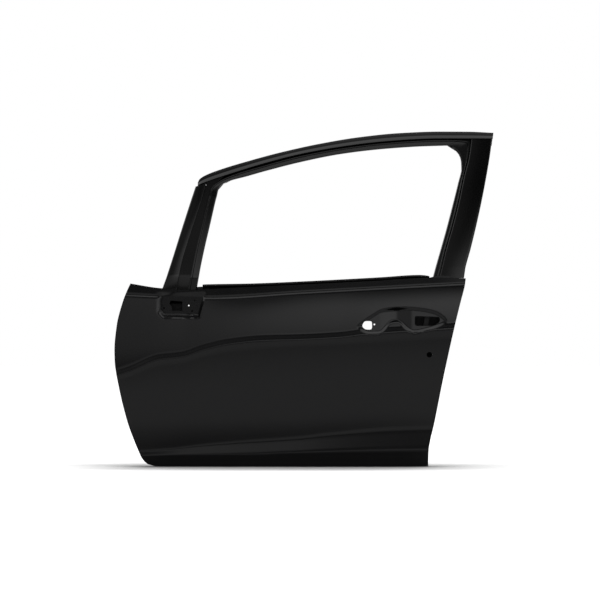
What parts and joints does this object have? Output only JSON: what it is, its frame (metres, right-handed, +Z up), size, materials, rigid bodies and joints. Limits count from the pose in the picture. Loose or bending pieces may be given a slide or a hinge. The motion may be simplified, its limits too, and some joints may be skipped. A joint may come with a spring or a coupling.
{
  "type": "car door shell",
  "caption": "Bare primed steel shell of a left front car door, with window frame, handle pocket and mirror seat, without glass, hinges, latch or trim.",
  "frame": {"origin": "middle of the upper hinge's seat on the inner panel's front wall", "axes": "+X rearwards along the car, +Y inwards to the cabin, +Z up"},
  "size_m": [1.258, 0.2282, 1.1122],
  "materials": {
    "primed_skin": "black dip primer, smooth satin",
    "primed_frame": "black dip primer, smooth satin",
    "primed_structure": "black dip primer, satin",
    "mastic": "matte expanded pad"
  },
  "bodies": {
    "root": {"outer_panel": "primed_skin", "inner_panel_front": "primed_structure", "inner_panel": "primed_structure", "outer_belt_reinforcement": "primed_structure", "inner_belt_reinforcement": "primed_structure", "front_glass_channel": "primed_frame", "front_corner_gusset": "primed_frame", "header_glass_channel": "primed_frame", "rear_corner_gusset": "primed_frame", "rear_glass_channel": "primed_frame", "header_rail_outer": "primed_frame", "header_rail_inner": "primed_frame", "front_sash_outer": "primed_frame", "front_sash_inner": "primed_frame", "front_filler_web": "primed_frame", "rear_sash_panel": "primed_frame", "rear_sash_inner": "primed_frame", "side_impact_beam": "primed_structure", "beam_front_bracket": "primed_structure", "beam_rear_bracket": "primed_structure", "mastic_pad_1": "mastic", "mastic_pad_2": "mastic", "mastic_pad_3": "mastic", "hinge_reinforcement": "primed_structure", "upper_hinge_nut_plate": "primed_structure", "lower_hinge_nut_plate": "primed_structure", "check_link_reinforcement": "primed_structure", "latch_reinforcement": "primed_structure", "handle_reinforcement": "primed_structure", "mirror_reinforcement": "primed_structure", "mirror_weld_nut_1": "primed_structure", "mirror_weld_nut_2": "primed_structure", "mirror_weld_nut_3": "primed_structure", "front_lower_channel": "primed_structure", "rear_lower_channel": "primed_structure", "front_channel_tab": "primed_structure", "rear_channel_tab": "primed_structure"}
  },
  "joints": []
}
